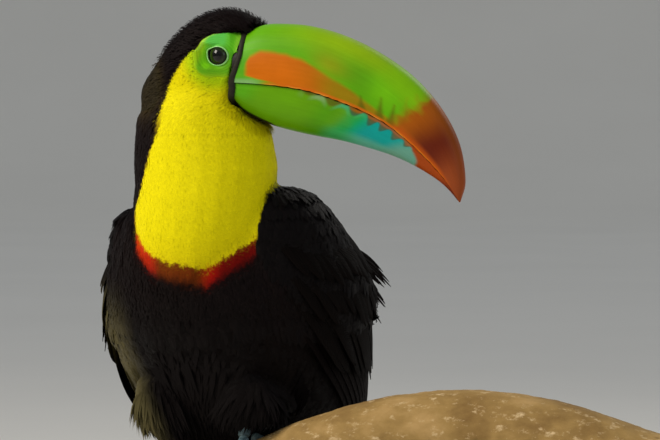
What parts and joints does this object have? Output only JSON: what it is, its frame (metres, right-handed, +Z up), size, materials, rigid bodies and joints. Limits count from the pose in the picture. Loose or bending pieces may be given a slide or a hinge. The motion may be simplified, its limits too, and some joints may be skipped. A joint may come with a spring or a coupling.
{
  "type": "keel-billed toucan display model",
  "caption": "Life-size still model of a toucan, head turned to its left, gripping a cut bough held on rods over a flat display base.",
  "frame": {"origin": "middle of the flat underside of the display base", "axes": "+Z up; the bird's trunk faces -Y; its head is turned to its own left, so that the bill points along +X, and the bough runs along X"},
  "size_m": [0.3592, 0.2733, 0.4465],
  "materials": {
    "black_plumage": "glossy black contour feathers with a warm maroon tinge",
    "yellow_plumage": "fine silky lemon-yellow feathers",
    "bill_horn": "smooth keratin horn, green with orange, blue and red zones",
    "eye": "wet dark eye",
    "foot_skin": "blue-grey scaled skin",
    "claw_horn": "dark claw horn",
    "bark": "smooth tan bark with fine cracks",
    "stand_paint": "satin black painted wood",
    "stand_rod": "brushed steel rod"
  },
  "bodies": {
    "root": {"bill_lower": "bill_horn", "bill_upper": "bill_horn", "claw_inner_back_left": "claw_horn", "claw_inner_back_right": "claw_horn", "claw_inner_front_left": "claw_horn", "claw_inner_front_right": "claw_horn", "claw_outer_back_left": "claw_horn", "claw_outer_back_right": "claw_horn", "claw_outer_front_left": "claw_horn", "claw_outer_front_right": "claw_horn", "eye_left": "eye", "eye_right": "eye", "flight_left": "black_plumage", "flight_right": "black_plumage", "head": "black_plumage", "neck": "yellow_plumage", "perch": "bark", "plumes_left": "black_plumage", "plumes_right": "black_plumage", "shank_left": "foot_skin", "shank_right": "foot_skin", "stand_base": "stand_paint", "stand_rod_1": "stand_rod", "stand_rod_2": "stand_rod", "tail": "black_plumage", "thigh_left": "black_plumage", "thigh_right": "black_plumage", "toe_inner_back_left": "foot_skin", "toe_inner_back_right": "foot_skin", "toe_inner_front_left": "foot_skin", "toe_inner_front_right": "foot_skin", "toe_outer_back_left": "foot_skin", "toe_outer_back_right": "foot_skin", "toe_outer_front_left": "foot_skin", "toe_outer_front_right": "foot_skin", "trunk": "black_plumage", "wing_left": "black_plumage", "wing_right": "black_plumage"}
  },
  "joints": []
}
